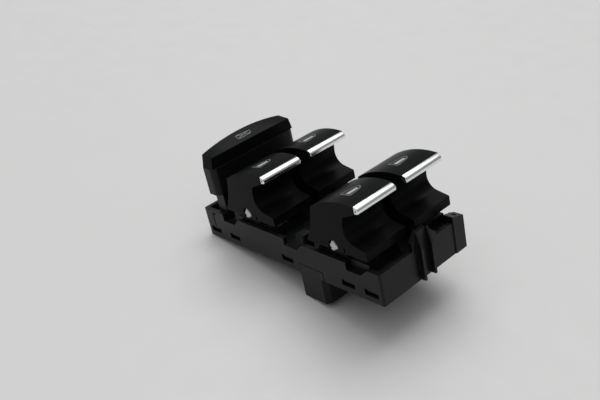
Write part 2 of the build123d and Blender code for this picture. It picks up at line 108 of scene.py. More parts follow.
# Rocker's pin ends and the collars round them, in millimetres from the pivot
PIN_START = 8.0
PIN_REACH = 3.2
COLLAR_FOOT = -1.35
COLLAR_OUTER_FEET = (3.2, -2.42)
COLLAR_INNER_FEET = (2.4, -2.1)
COLLAR_OUTER_MIDDLE = (0.4, 1.0)
COLLAR_INNER_MIDDLE = (0.15, 0.35)
COLLAR_OUTER_RADIUS = 2.82
COLLAR_INNER_RADIUS = 2.25
COLLAR_SINK = 0.03
COLLAR_DEPTH = 1.15
COLLAR_STEPS = 16

# Contact mat, in millimetres
MAT_CUT_RISE = 0.03
DOME_SIDES = 28
DOME_BORE = 1.25
DOME_ROOF = 0.6
DOME_FOOT = 3.1
DOME_SHOULDER = ((2.95, 0.35), (2.5, 1.2))
DOME_CROWN = ((2.15, 0.35), (1.9, 0.1), (1.5, 0.0))

# Window signs: points ahead of and to the left of a lever's pivot or the lock cap's middle, in millimetres
WINDOW_OUTLINE = ((2.3, -3.75), (6.7, -3.95), (7.2, -3.5), (6.4, 1.2), (6.0, 2.2),
                  (5.2, 3.0), (4.3, 3.4), (3.7, 3.25), (3.4, 2.7))
WINDOW_PANE = ((4.25, -3.15), (4.5, 1.9), (5.8, 1.6), (6.15, -3.15))
LOCK_OUTLINE = ((-0.95, -4.5), (0.85, -4.6), (1.1, -4.3), (1.0, 1.4), (0.6, 2.2), (-0.5, 2.4))
LOCK_CROSS = (((-0.75, -3.9), (0.6, 1.6), (0.8, 1.5), (-0.55, -4.0)),
              ((-0.45, 1.6), (0.75, -3.9), (0.55, -4.0), (-0.65, 1.5)))
LOCK_LINE_SHARE = 0.6
PRINT_HALF_THICKNESS = 0.02
PRINT_STEP = 0.5
LEAST_MITRE = 0.4


# Sizes and colours that a user would change

class StageSettings(bpy.types.PropertyGroup):
    """The floor, the camera and the light."""
    floor_colour: FloatVectorProperty(
        name="Floor colour", description="Colour of the plain floor", subtype="COLOR",
        size=3, default=(0.60, 0.60, 0.59), min=0, max=1)
    floor_size: FloatProperty(
        name="Floor size", description="Side of the square floor", default=4.0, unit="LENGTH")
    floor_back: FloatProperty(
        name="Floor back drop", description="Height of the base's underside where its back edge rests",
        default=0.0, unit="LENGTH")
    socket_drop: FloatProperty(
        name="Socket drop", description="How far the plug socket's front edge stands below the base",
        default=0.0107, unit="LENGTH")
    socket_reach: FloatProperty(
        name="Socket reach", description="Distance from the base's back edge to that front edge",
        default=0.0574, unit="LENGTH")
    camera_place: FloatVectorProperty(
        name="Camera place", description="Where the camera stands", size=3, subtype="TRANSLATION",
        default=(0.215834, -0.169146, 0.156960))
    camera_azimuth: FloatProperty(
        name="Camera azimuth", description="Turn of the camera about the upright axis",
        default=math.radians(53.5413), unit="ROTATION")
    camera_elevation: FloatProperty(
        name="Camera elevation", description="How far the camera looks down",
        default=math.radians(26.6128), unit="ROTATION")
    camera_roll: FloatProperty(
        name="Camera roll", description="Turn of the camera about its own view",
        default=math.radians(-12.855), unit="ROTATION")
    camera_lens: FloatProperty(
        name="Focal length", description="Focal length of the camera's lens in millimetres",
        default=47.98, unit="CAMERA")
    sky_low: FloatProperty(
        name="Light from the sides", description="Strength of the light near the horizon", default=0.22)
    sky_high: FloatProperty(
        name="Light from above", description="Strength of the light straight overhead", default=0.95)
    lamp_power: FloatProperty(
        name="Lamp power", description="Power of the large soft lamp overhead", default=20.0,
        unit="POWER")
    lamp_size: FloatProperty(
        name="Lamp size", description="Side of that lamp", default=1.6, unit="LENGTH")
    lamp_place: FloatVectorProperty(
        name="Lamp place", description="Where that lamp hangs", size=3, subtype="TRANSLATION",
        default=(-0.15, 0.6, 1.75))


class MouldingSettings(bpy.types.PropertyGroup):
    """Edge rounds of the moulded pieces."""
    housing_round: FloatProperty(
        name="Housing edge round", description="Width of the rounds on the housing's edges",
        default=0.00018, unit="LENGTH")
    lever_round: FloatProperty(
        name="Lever edge round", description="Width of the rounds on the levers' edges",
        default=0.00045, unit="LENGTH")
    strip_round: FloatProperty(
        name="Strip end round", description="Radius of the rounds at the bright strips' ends",
        default=0.00045, unit="LENGTH")
    strip_inset: FloatProperty(
        name="Strip inset", description="How far a bright strip's ends stand in from the lever's sides",
        default=0.0003, unit="LENGTH")
    strip_hole: FloatProperty(
        name="Strip hole", description="Radius of the small hole in each end of a strip",
        default=0.00042, unit="LENGTH")
    pin_share: FloatProperty(
        name="Pin end share", description="Size of the rockers' pin ends as a share of their stems",
        default=0.76, min=0.5, max=1, subtype="FACTOR")
    button_round: FloatProperty(
        name="Lock button edge round", description="Width of the rounds on the lock button's edges",
        default=0.00035, unit="LENGTH")
    steps: IntProperty(
        name="Steps", description="Number of faces across each edge round", default=3, min=1, max=6)


def slot_colour(slot):
    """The base colour that the record gives a material slot."""
    for material in frame["record"]["materials"]:
        if material["slot"] == slot:
            return tuple(material["base_color"][:3])
    raise ValueError("no material slot named " + slot)


class FinishSettings(bpy.types.PropertyGroup):
    """Colours of the finishes."""
    base_plastic: FloatVectorProperty(
        name="Base plastic", description="Colour of the matte moulded base", subtype="COLOR",
        size=3, default=(0.0055, 0.0060, 0.0058), min=0, max=1)
    button_plastic: FloatVectorProperty(
        name="Button plastic", description="Colour of the satin levers and button", subtype="COLOR",
        size=3, default=(0.0040, 0.0043, 0.0042), min=0, max=1)
    chrome: FloatVectorProperty(
        name="Bright plating", description="Colour of the plated strips", subtype="COLOR",
        size=3, default=(0.92, 0.93, 0.94), min=0, max=1)
    rocker: FloatVectorProperty(
        name="Rockers", description="Colour of the natural white rockers", subtype="COLOR",
        size=3, default=(0.62, 0.62, 0.60), min=0, max=1)
    sign_line: FloatVectorProperty(
        name="Sign outline", description="Colour of the window signs' thin lines", subtype="COLOR",
        size=3, default=(0.17, 0.18, 0.175), min=0, max=1)
    sign_pane: FloatVectorProperty(
        name="Sign pane", description="Colour of the bright bar in the window signs", subtype="COLOR",
        size=3, default=(0.38, 0.40, 0.385), min=0, max=1)
    sign_width: FloatProperty(
        name="Sign line width", description="Width of the window signs' lines",
        default=0.00036, unit="LENGTH")


# Node tools

def add_node(tree, kind, **values):
    """A shader node with its settings and unlinked inputs set."""
    node = tree.nodes.new(kind)
    for name, value in values.items():
        if hasattr(node, name):
            setattr(node, name, value)
        else:
            node.inputs[name.replace("_", " ")].default_value = value
    return node


def new_group(name, inputs, outputs):
    """An empty shader group with its sockets, and its two end nodes."""
    tree = bpy.data.node_groups.new(name, "ShaderNodeTree")
    for socket, kind, default in inputs:
        made = tree.interface.new_socket(socket, in_out="INPUT", socket_type=kind)
        made.default_value = default
    for socket, kind in outputs:
        tree.interface.new_socket(socket, in_out="OUTPUT", socket_type=kind)
    return tree, tree.nodes.new("NodeGroupInput"), tree.nodes.new("NodeGroupOutput")


def place_group(tree, name, **values):
    """A shader group in a material, with that material's own values."""
    node = tree.nodes.new("ShaderNodeGroup")
    node.node_tree = bpy.data.node_groups[name]
    for socket, value in values.items():
        node.inputs[socket.replace("_", " ")].default_value = value
    return node


def grain_group():
    """Fine pits and broad drift of a moulded or painted surface."""
    tree, start, end = new_group(
        "Surface grain",
        [("Grain size", "NodeSocketFloat", 0.0003), ("Drift size", "NodeSocketFloat", 0.012)],
        [("Height", "NodeSocketFloat"), ("Drift", "NodeSocketFloat")])
    place = add_node(tree, "ShaderNodeTexCoord")
    for size, output, detail in (("Grain size", "Height", 3.0), ("Drift size", "Drift", 2.0)):
        scale = add_node(tree, "ShaderNodeMath", operation="DIVIDE")
        scale.inputs[0].default_value = 1.0
        noise = add_node(tree, "ShaderNodeTexNoise", Detail=detail)
        tree.links.new(start.outputs[size], scale.inputs[1])
        tree.links.new(scale.outputs[0], noise.inputs["Scale"])
        tree.links.new(place.outputs["Object"], noise.inputs["Vector"])
        tree.links.new(noise.outputs[0], end.inputs[output])
    return tree


def dust_group():
    """A thin film of dust on what faces up, broken into patches and specks."""
    tree, start, end = new_group(
        "Settled dust",
        [("Amount", "NodeSocketFloat", 0.1), ("Patch size", "NodeSocketFloat", 0.006)],
        [("Mask", "NodeSocketFloat")])
    place = add_node(tree, "ShaderNodeTexCoord")
    facing = add_node(tree, "ShaderNodeNewGeometry")
    split = add_node(tree, "ShaderNodeSeparateXYZ")
    upward = add_node(tree, "ShaderNodeMapRange", clamp=True)
    upward.inputs["From Min"].default_value = 0.2
    scale = add_node(tree, "ShaderNodeMath", operation="DIVIDE")
    scale.inputs[0].default_value = 1.0
    patches = add_node(tree, "ShaderNodeTexNoise", Detail=6.0, Roughness=0.65)
    spread = add_node(tree, "ShaderNodeMapRange", clamp=True)
    spread.inputs["From Min"].default_value = 0.42
    spread.inputs["From Max"].default_value = 0.75
    both = add_node(tree, "ShaderNodeMath", operation="MULTIPLY")
    amount = add_node(tree, "ShaderNodeMath", operation="MULTIPLY")
    tree.links.new(facing.outputs["Normal"], split.inputs[0])
    tree.links.new(split.outputs["Z"], upward.inputs["Value"])
    tree.links.new(start.outputs["Patch size"], scale.inputs[1])
    tree.links.new(scale.outputs[0], patches.inputs["Scale"])
    tree.links.new(place.outputs["Object"], patches.inputs["Vector"])
    tree.links.new(patches.outputs[0], spread.inputs["Value"])
    tree.links.new(upward.outputs[0], both.inputs[0])
    tree.links.new(spread.outputs[0], both.inputs[1])
    tree.links.new(both.outputs[0], amount.inputs[0])
    tree.links.new(start.outputs["Amount"], amount.inputs[1])
    tree.links.new(amount.outputs[0], end.inputs["Mask"])
    return tree


def ready_groups():
    """Builds each shader group once."""
    for name, make in (("Surface grain", grain_group), ("Settled dust", dust_group)):
        if name not in bpy.data.node_groups:
            make()


def new_material(name):
    """An empty node material with its Principled shader."""
    material = bpy.data.materials.new(name)
    material.use_nodes = True
    tree = material.node_tree
    tree.nodes.clear()
    shader = tree.nodes.new("ShaderNodeBsdfPrincipled")
    output = tree.nodes.new("ShaderNodeOutputMaterial")
    tree.links.new(shader.outputs[0], output.inputs["Surface"])
    return material, tree, shader


def wire_surface(tree, shader, surface, sheen, bump):
    """Links the grain's drift to the roughness and its height to the normal."""
    tree.links.new(surface.outputs["Drift"], sheen.inputs["Value"])
    tree.links.new(sheen.outputs[0], shader.inputs["Roughness"])
    tree.links.new(surface.outputs["Height"], bump.inputs["Height"])
    tree.links.new(bump.outputs[0], shader.inputs["Normal"])


def plastic(name, colour, rough, spread, grain, depth, dust=0.01, specular=0.5):
    """A moulded or painted plastic: roughness and its drift, grain size and depth, and some dust."""
    if name in bpy.data.materials:
        return bpy.data.materials[name]
    ready_groups()
    material, tree, shader = new_material(name)
    shader.inputs["Specular IOR Level"].default_value = specular
    surface = place_group(tree, "Surface grain", Grain_size=grain)
    settled = place_group(tree, "Settled dust", Amount=dust)
    tone = add_node(tree, "ShaderNodeMix", data_type="RGBA")
    tone.inputs["A"].default_value = (*colour, 1)
    dusty = [DUST_TONE + (1 - DUST_TONE) * part for part in colour]
    tone.inputs["B"].default_value = (*dusty, 1)
    sheen = add_node(tree, "ShaderNodeMapRange")
    sheen.inputs["From Min"].default_value = 0.3
    sheen.inputs["From Max"].default_value = 0.7
    sheen.inputs["To Min"].default_value = rough - spread
    sheen.inputs["To Max"].default_value = rough + spread
    bump = add_node(tree, "ShaderNodeBump", Strength=1.0, Distance=depth)
    tree.links.new(settled.outputs["Mask"], tone.inputs["Factor"])
    tree.links.new(tone.outputs["Result"], shader.inputs["Base Color"])
    wire_surface(tree, shader, surface, sheen, bump)
    return material


def base_plastic():
    """The matte moulded plastic of the housing, the cover and the button's skirt."""
    colour = bpy.context.scene.finishes.base_plastic
    return plastic("Matte black moulding", colour, rough=0.36, spread=0.05,
                   grain=0.00025, depth=0.00002, specular=0.20)


def button_plastic():
    """The satin paint of the levers and the lock button."""
    colour = bpy.context.scene.finishes.button_plastic
    return plastic("Satin black paint", colour, rough=0.34, spread=0.04,
                   grain=0.00018, depth=0.000006, dust=0.006, specular=0.05)


def chrome():
    """The bright plating of the strips, with a fine grain and a roughness that drifts a little."""
    name = "Bright plating"
    if name in bpy.data.materials:
        return bpy.data.materials[name]
    ready_groups()
    material, tree, shader = new_material(name)
    shader.inputs["Base Color"].default_value = (*bpy.context.scene.finishes.chrome, 1)
    shader.inputs["Metallic"].default_value = 1.0
    surface = place_group(tree, "Surface grain", Grain_size=0.0004, Drift_size=0.006)
    sheen = add_node(tree, "ShaderNodeMapRange")
    sheen.inputs["To Min"].default_value = 0.16
    sheen.inputs["To Max"].default_value = 0.28
    bump = add_node(tree, "ShaderNodeBump", Strength=0.3, Distance=0.00001)
    wire_surface(tree, shader, surface, sheen, bump)
    return material


def rocker_plastic():
    """The natural white moulding of the rockers."""
    colour = bpy.context.scene.finishes.rocker
    return plastic("Natural white moulding", colour, rough=0.45, spread=0.05,
                   grain=0.0003, depth=0.00001)


def board_laminate():
    """The green solder mask of the board."""
    return plastic("Green board laminate", slot_colour("board_laminate"), rough=0.3, spread=0.04,
                   grain=0.0004, depth=0.000005)


def mat_silicone():
    """The grey silicone of the contact mat."""
    return plastic("Grey silicone", slot_colour("mat_silicone"), rough=0.6, spread=0.05,
                   grain=0.0003, depth=0.00001)


def pin_metal():
    """The tinned contact pins."""
    name = "Tinned contact metal"
    if name in bpy.data.materials:
        return bpy.data.materials[name]
    material = plastic(name, slot_colour("pin_metal"), rough=0.3, spread=0.06,
                       grain=0.0002, depth=0.000004)
    material.node_tree.nodes["Principled BSDF"].inputs["Metallic"].default_value = 1.0
    return material


def lamp_plastic():
    """The white bodies of the small lamps."""
    return plastic("White lamp body", slot_colour("lamp_plastic"), rough=0.35, spread=0.04,
                   grain=0.0002, depth=0.000004)


def chip_plastic():
    """The moulded epoxy of the control chip."""
    return plastic("Moulded epoxy", slot_colour("chip_plastic"), rough=0.5, spread=0.05,
                   grain=0.0001, depth=0.000006)


def guide_plastic():
    """The clear moulding of the light guides."""
    name = "Clear light guide"
    if name in bpy.data.materials:
        return bpy.data.materials[name]
    material = plastic(name, slot_colour("guide_plastic"), rough=0.12, spread=0.03,
                       grain=0.0005, depth=0.000004)
    material.node_tree.nodes["Principled BSDF"].inputs["Transmission Weight"].default_value = 0.9
    return material


def sign_line_print():
    """The grey print of the window signs' lines."""
    colour = bpy.context.scene.finishes.sign_line
    return plastic("Grey sign print", colour, rough=0.45, spread=0.04,
                   grain=0.0002, depth=0.000004)


def sign_pane_print():
    """The brighter print of the bar in the window signs."""
    colour = bpy.context.scene.finishes.sign_pane
    return plastic("Pale sign print", colour, rough=0.45, spread=0.04,
                   grain=0.0002, depth=0.000004)


# Mesh tools

def smooth(mesh, angle=SHARP_ANGLE):
    """Smooth shading, broken at edges sharper than an angle in degrees."""
    mesh.shade_smooth()
    mesh.set_sharp_from_angle(angle=math.radians(angle))


def turned_out(made, name):
    """A mesh of what was made, its faces turned outwards."""
    bmesh.ops.recalc_face_normals(made, faces=made.faces)
    mesh = bpy.data.meshes.new(name)
    made.to_mesh(mesh)
    made.free()
    return mesh


def link_piece(name, mesh, material, body, nodes=()):
    """Links a finished mesh as a piece that rides on a body."""
    piece = bpy.data.objects.new(name, mesh)
    bpy.context.scene.collection.objects.link(piece)
    if mesh.materials:
        mesh.materials[0] = material
    else:
        mesh.materials.append(material)
    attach(piece, body)
    if nodes:
        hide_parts(*nodes)
    return piece


def cleaned(node):
    """A copy of a node's mesh with its flat faces made whole again."""
    made = bmesh.new()
    made.from_mesh(frame["nodes"][node].data)
    bmesh.ops.remove_doubles(made, verts=made.verts, dist=1e-6)
    bmesh.ops.dissolve_limit(
        made, angle_limit=math.radians(FLAT_ANGLE), verts=made.verts, edges=made.edges)
    mesh = bpy.data.meshes.new(node + "_rounded")
    made.to_mesh(mesh)
    made.free()
    return mesh


def rounded(node, width, steps):
    """A copy of a node's mesh with its sharp edges rounded and its flat faces kept flat."""
    mesh = cleaned(node)
    smooth(mesh)
    holder = bpy.data.objects.new(node + "_holder", mesh)
    bpy.context.scene.collection.objects.link(holder)
    edge = holder.modifiers.new("Edge round", "BEVEL")
    edge.width = width
    edge.segments = steps
    edge.limit_method = "ANGLE"
    edge.angle_limit = math.radians(ROUND_ANGLE)
    edge.use_clamp_overlap = True
    flat = holder.modifiers.new("Flat faces", "WEIGHTED_NORMAL")
    flat.keep_sharp = True
    flat.weight = 90
    depsgraph = bpy.context.evaluated_depsgraph_get()
    finished = bpy.data.meshes.new_from_object(holder.evaluated_get(depsgraph))
    bpy.data.objects.remove(holder)
    return finished


def body_of(node):
    """The body that a CAD node rides on."""
    for body, members in frame["record"]["behaviour"]["bodies"].items():
        if node in members:
            return body
    raise ValueError("no body holds " + node)


def round_piece(node, piece, width, material):
    """Replaces a node with its rounded copy."""
    steps = bpy.context.scene.mouldings.steps
    return link_piece(piece, rounded(node, width, steps), material, body_of(node), [node])


def pivot_of(lever):
    """The point that a lever turns about."""
    for joint in frame["joints"]:
        if joint["name"] == lever + "_rock":
            return Vector(joint["pos_m"])
    raise ValueError("no joint turns " + lever)


def arc(centre, radii, first, last, steps):
    """Points along part of an ellipse, its angles in degrees."""
    turns = [math.radians(first + (last - first) * step / steps) for step in range(steps + 1)]
    return [(centre[0] + radii[0] * math.cos(turn), centre[1] + radii[1] * math.sin(turn))
            for turn in turns]


def strip_section():
    """A bright strip's outline across its length: reach and rise from the pivot in millimetres."""
    front = arc(STRIP_FRONT, STRIP_FRONT_RADII, 90, 0, 12)
    lip = arc(STRIP_LIP, STRIP_LIP_RADII, -8, -78, 6)
    return [(STRIP_BACK, STRIP_TOP)] + front + lip + [(STRIP_BACK, STRIP_BOTTOM)]


def strip_ring(made, section, place, across, scale):
    """One loop of points of a strip, its outline drawn in towards the middle of its back."""
    ring = []
    for reach, rise in section:
        reach = STRIP_BACK + (reach - STRIP_BACK) * scale
        rise = STRIP_MIDDLE + (rise - STRIP_MIDDLE) * scale
        ring.append(made.verts.new((place.x + reach * MM, across, place.z + rise * MM)))
    return ring


def hole_ring(made, section, place, across, radius):
    """One loop of points round the small hole in a strip's end."""
    ring = []
    for reach, rise in section:
        away = Vector((reach - STRIP_HOLE_REACH, rise - STRIP_MIDDLE)).normalized() * radius
        ring.append(made.verts.new((place.x + STRIP_HOLE_REACH * MM + away.x, across,
                                    place.z + STRIP_MIDDLE * MM + away.y)))
    return ring


def join_rings(made, first, second, finish=0):
    """Faces between two loops of as many points, with the finish that they take."""
    for index in range(len(first)):
        after = (index + 1) % len(first)
        face = made.faces.new((first[index], first[after], second[after], second[index]))
        face.material_index = finish


def strip_end(made, section, place, edge, outward, sizes):
    """The rounded end of a strip and its small hole, whose walls and floor are black moulding as painted shade,
    given as the loop that the strip starts from.
    """
    shrink = sizes.strip_round / (STRIP_DEPTH * MM)
    rings = []
    for step in range(STRIP_END_STEPS + 1):
        turn = math.radians(90 * step / STRIP_END_STEPS)
        inward = sizes.strip_round * (1 - math.sin(turn))
        scale = 1 - shrink * (1 - math.cos(turn))
        rings.append(strip_ring(made, section, place, edge - outward * inward, scale))
    for radius, depth in ((1.0, 0.0), (0.95, 1.5)):
        rings.append(hole_ring(made, section, place, edge - outward * depth * sizes.strip_hole,
                               radius * sizes.strip_hole))
    for first, second in zip(rings, rings[1:-1]):
        join_rings(made, first, second)
    # The hole's walls and floor take the second finish, black moulding, as painted shade inside the hole
    join_rings(made, rings[-2], rings[-1], 1)
    made.faces.new(rings[-1]).material_index = 1
    return rings[0]


def add_rib(made, low, high, place):
    """The thin rib behind a strip that plugs into the lever's tip."""
    middle = place.z + STRIP_MIDDLE * MM
    for corner in bmesh.ops.create_cube(made, size=1.0)["verts"]:
        corner.co.x = low.x if corner.co.x < 0 else place.x + RIB_REACH * MM
        corner.co.y = low.y + RIB_INSET * MM if corner.co.y < 0 else high.y - RIB_INSET * MM
        corner.co.z = middle + (RIB_HALF_HEIGHT * MM if corner.co.z > 0 else -RIB_HALF_HEIGHT * MM)


def strip_mesh(lever, sizes):
    """A bright strip with a full front, rounded ends and the rib that plugs it in."""
    low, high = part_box(lever + "_strip")
    place = pivot_of(lever)
    section = strip_section()
    made = bmesh.new()
    near = strip_end(made, section, place, low.y + sizes.strip_inset, -1, sizes)
    far = strip_end(made, section, place, high.y - sizes.strip_inset, 1, sizes)
    join_rings(made, near, far)
    add_rib(made, low, high, place)
    mesh = turned_out(made, lever + "_trim")
    smooth(mesh, STRIP_SHARP_ANGLE)
    return mesh


def rocker_mesh(lever, share):
    """A rocker whose star-shaped pin ends taper towards the lever's sides."""
    mesh = cleaned(lever + "_rocker")
    place = pivot_of(lever)
    for vertex in mesh.vertices:
        away = vertex.co - place
        if abs(away.y) > PIN_START * MM and math.hypot(away.x, away.z) < PIN_REACH * MM:
            vertex.co.x = place.x + away.x * share
            vertex.co.z = place.z + away.z * share
    smooth(mesh)
    return mesh


def collar_sections():
    """Outer and inner points of the collar in a lever's side slot, in millimetres from its pivot."""
    edges = []
    for feet, middle, radius in (
            (COLLAR_OUTER_FEET, COLLAR_OUTER_MIDDLE, COLLAR_OUTER_RADIUS),
            (COLLAR_INNER_FEET, COLLAR_INNER_MIDDLE, COLLAR_INNER_RADIUS)):
        crown = arc(middle, (radius, radius), 0, 180, COLLAR_STEPS)
        edges.append([(feet[0], COLLAR_FOOT)] + crown + [(feet[1], COLLAR_FOOT)])
    return list(zip(*edges))


def collar_mesh(lever):
    """The thin collars that narrow the slots in both sides of a lever's cap round the pins."""
    low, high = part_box(lever + "_lever")
    place = pivot_of(lever)
    made = bmesh.new()
    for face, inward in ((low.y, 1), (high.y, -1)):
        outside = face + inward * COLLAR_SINK * MM
        inside = face + inward * COLLAR_DEPTH * MM
        rings = []
        for outer, inner in collar_sections():
            spots = ((outer, outside), (outer, inside), (inner, inside), (inner, outside))
            rings.append([made.verts.new((place.x + spot[0] * MM, across, place.z + spot[1] * MM))
                          for spot, across in spots])
        for first, second in zip(rings, rings[1:]):
            join_rings(made, first, second)
        made.faces.new(rings[0])
        made.faces.new(rings[-1])
    mesh = turned_out(made, lever + "_slot_collars")
    smooth(mesh)
    return mesh


def mat_level():
    """The height of the contact mat's flat top."""
    low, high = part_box("contact_mat")
    corners = [vertex.co for vertex in frame["nodes"]["contact_mat"].data.vertices]
    return max(corner.z for corner in corners if corner.x < low.x + 0.1 * MM)


def dome_places(mesh):
    """The middle of each dome's top on the contact mat."""
    top = max(vertex.co.z for vertex in mesh.vertices)
    return [face.center.copy() for face in mesh.polygons if face.center.z > top - 0.01 * MM]


def mat_sheet(mesh, level):
    """The contact mat's flat sheet without its domes."""
    made = bmesh.new()
    made.from_mesh(mesh)
    everything = made.verts[:] + made.edges[:] + made.faces[:]
    cut = bmesh.ops.bisect_plane(made, geom=everything, plane_co=(0, 0, level),
                                 plane_no=(0, 0, 1), clear_outer=True)
    rims = [part for part in cut["geom_cut"] if isinstance(part, bmesh.types.BMEdge)]
    bmesh.ops.triangle_fill(made, edges=rims, use_beauty=True)
    sheet = turned_out(made, "mat_sheet")
    smooth(sheet)
    return sheet


def dome_mesh(place, level):
    """A hollow silicone dome with a soft shoulder, turned about its upright axis."""
    height = (place.z - level) / MM
    bore = [(DOME_BORE, height - DOME_ROOF), (DOME_BORE, 0.0)]
    crown = [(reach, height - drop) for reach, drop in DOME_CROWN]
    shape = bore + [(DOME_FOOT, 0.0), *DOME_SHOULDER] + crown
    turns = [2 * math.pi * step / DOME_SIDES for step in range(DOME_SIDES)]
    made = bmesh.new()
    rings = []
    for reach, rise in shape:
        rings.append([made.verts.new((place.x + reach * MM * math.cos(turn),
                                      place.y + reach * MM * math.sin(turn), level + rise * MM))
                      for turn in turns])
    for first, second in zip(rings, rings[1:]):
        join_rings(made, first, second)
    made.faces.new(rings[0])
    made.faces.new(rings[-1])
    mesh = turned_out(made, "dome")
    smooth(mesh)
    return mesh


def surface_of(piece):
    """A search tree of a piece's surface."""
    made = bmesh.new()
    made.from_mesh(piece.data)
    tree = BVHTree.FromBMesh(made)
    made.free()
    return tree


def laid_on(surface, x, y, height):
    """The point above a place in plan that lies on a surface, raised by a height."""
    point, normal, _, _ = surface.ray_cast(Vector((x, y, 0.1)), Vector((0, 0, -1)))
    if point is None:
        raise ValueError("a sign reaches past its cap")
    return point + normal * height


def print_mesh(name, surface, quads):
    """A thin print laid on a surface, from the plan corners of its quads in metres."""
    half = PRINT_HALF_THICKNESS * MM
    made = bmesh.new()
    for corners in quads:
        long_side = (Vector(corners[1]) - Vector(corners[0])).length
        steps = max(1, round(long_side / (PRINT_STEP * MM)))
        rows = []
        for step in range(steps + 1):
            part = step / steps
            near = Vector(corners[0]).lerp(Vector(corners[1]), part)
            far = Vector(corners[3]).lerp(Vector(corners[2]), part)
            rows.append([made.verts.new(laid_on(surface, spot.x, spot.y, height))
                         for spot, height in ((near, -half), (near, half),
                                              (far, half), (far, -half))])
        for first, second in zip(rows, rows[1:]):
            join_rings(made, first, second)
        made.faces.new(rows[0])
        made.faces.new(rows[-1])
    return turned_out(made, name)


def line_quads(points, width):
    """The quads of a closed thin line with mitred corners."""
    spots = [Vector(point) for point in points]
    inner, outer = [], []
    for index, spot in enumerate(spots):
        before = (spot - spots[index - 1]).normalized()
        after = (spots[(index + 1) % len(spots)] - spot).normalized()
        mitre = Vector((-before.y - after.y, before.x + after.x)).normalized()
        reach = width / 2 / max(LEAST_MITRE, mitre.dot(Vector((-after.y, after.x))))
        inner.append(spot - mitre * reach)
        outer.append(spot + mitre * reach)
    quads = []
    for index in range(len(spots)):
        after = (index + 1) % len(spots)
        quads.append((inner[index], inner[after], outer[after], outer[index]))
    return quads


def plan(place, points):
    """Plan points in metres from millimetres towards the tips and to the left of a place."""
    return [(place.x + ahead * MM, place.y + left * MM) for ahead, left in points]


def dress(node, material):
    """Gives a CAD node its finish."""
    mesh = frame["nodes"][node].data
    mesh.materials.clear()
    mesh.materials.append(material)
    smooth(mesh)


# Stage

def camera_turn(azimuth, elevation, roll):
    """The camera's turn: its columns point right, up and back."""
    back = Vector((math.sin(azimuth) * math.cos(elevation),
                   -math.cos(azimuth) * math.cos(elevation),
                   math.sin(elevation)))
    right = Vector((math.cos(azimuth), math.sin(azimuth), 0))
    up = back.cross(right)
    rolled_right = math.cos(roll) * right + math.sin(roll) * up
    rolled_up = math.cos(roll) * up - math.sin(roll) * right
    return Matrix((rolled_right, rolled_up, back)).transposed()


def floor_material(colour):
    """A plain pale sheet with a soft, slightly uneven sheen."""
    return plastic("Pale floor sheet", colour, rough=0.5, spread=0.08,
                   grain=0.004, depth=0.00002)


class SWITCH_OT_stage(bpy.types.Operator):
    """Makes the floor, the lights and the camera"""
    bl_idname = "switch.stage"
    bl_label = "Stage"

    def execute(self, context):
        settings = context.scene.stage
        low, high = cad_bounds
        slope = math.atan2(settings.socket_drop, settings.socket_reach)
        half = settings.floor_size / 2
        made = bmesh.new()
        corners = [made.verts.new((x, y, 0)) for x, y in
                   ((-half, -half), (half, -half), (half, half), (-half, half))]
        made.faces.new(corners)
        mesh = bpy.data.meshes.new("floor")
        made.to_mesh(mesh)
        made.free()
        mesh.transform(Matrix.Rotation(slope, 4, "Y"))
        mesh.transform(Matrix.Translation((low.x, 0, settings.floor_back)))
        mesh.materials.append(floor_material(settings.floor_colour))
        floor = bpy.data.objects.new("floor", mesh)
        context.scene.collection.objects.link(floor)
        self.add_sky(context, settings)
        self.add_lamp(context, settings)
        self.add_camera(context, settings)
        context.scene.view_settings.view_transform = "Standard"
        return {"FINISHED"}

    def add_sky(self, context, settings):
        """Soft light from all round, dim at the sides and brighter overhead."""
        world = bpy.data.worlds.new("Soft sky")
        world.use_nodes = True
        tree = world.node_tree
        direction = add_node(tree, "ShaderNodeTexCoord")
        split = add_node(tree, "ShaderNodeSeparateXYZ")
        rise = add_node(tree, "ShaderNodeMapRange", clamp=True, interpolation_type="SMOOTHSTEP")
        rise.inputs["From Min"].default_value = 0.3
        rise.inputs["To Min"].default_value = settings.sky_low
        rise.inputs["To Max"].default_value = settings.sky_high
        tree.links.new(direction.outputs["Generated"], split.inputs[0])
        tree.links.new(split.outputs["Z"], rise.inputs["Value"])
        sky = tree.nodes["Background"]
        sky.inputs["Color"].default_value = (0.98, 0.99, 1.0, 1)
        tree.links.new(rise.outputs[0], sky.inputs["Strength"])
        context.scene.world = world

    def add_lamp(self, context, settings):
        """One large soft lamp overhead."""
        lamp = bpy.data.lights.new("overhead_lamp", "AREA")
        lamp.energy = settings.lamp_power
        lamp.size = settings.lamp_size
        holder = bpy.data.objects.new("overhead_lamp", lamp)
        place = Vector(settings.lamp_place)
        holder.location = place
        holder.rotation_euler = (-place).to_track_quat("-Z", "Y").to_euler()
        context.scene.collection.objects.link(holder)

    def add_camera(self, context, settings):
        """The camera at the photograph's viewing angle."""
        data = bpy.data.cameras.new("camera")
        data.lens = settings.camera_lens
        data.sensor_width = 36
        data.clip_start = 0.01
        camera = bpy.data.objects.new("camera", data)
        turn = camera_turn(settings.camera_azimuth, settings.camera_elevation, settings.camera_roll)
        camera.matrix_world = Matrix.LocRotScale(Vector(settings.camera_place), turn, None)
        context.scene.collection.objects.link(camera)
        context.scene.camera = camera


# Pieces

class SWITCH_OT_housing(bpy.types.Operator):
    """Rounds the edges of the housing and the bottom cover"""
    bl_idname = "switch.housing"
    bl_label = "Housing and cover"

    def execute(self, context):
        width = context.scene.mouldings.housing_round
        round_piece("housing", "housing_moulding", width, base_plastic())
        round_piece("bottom_cover", "cover_moulding", width, base_plastic())
        return {"FINISHED"}


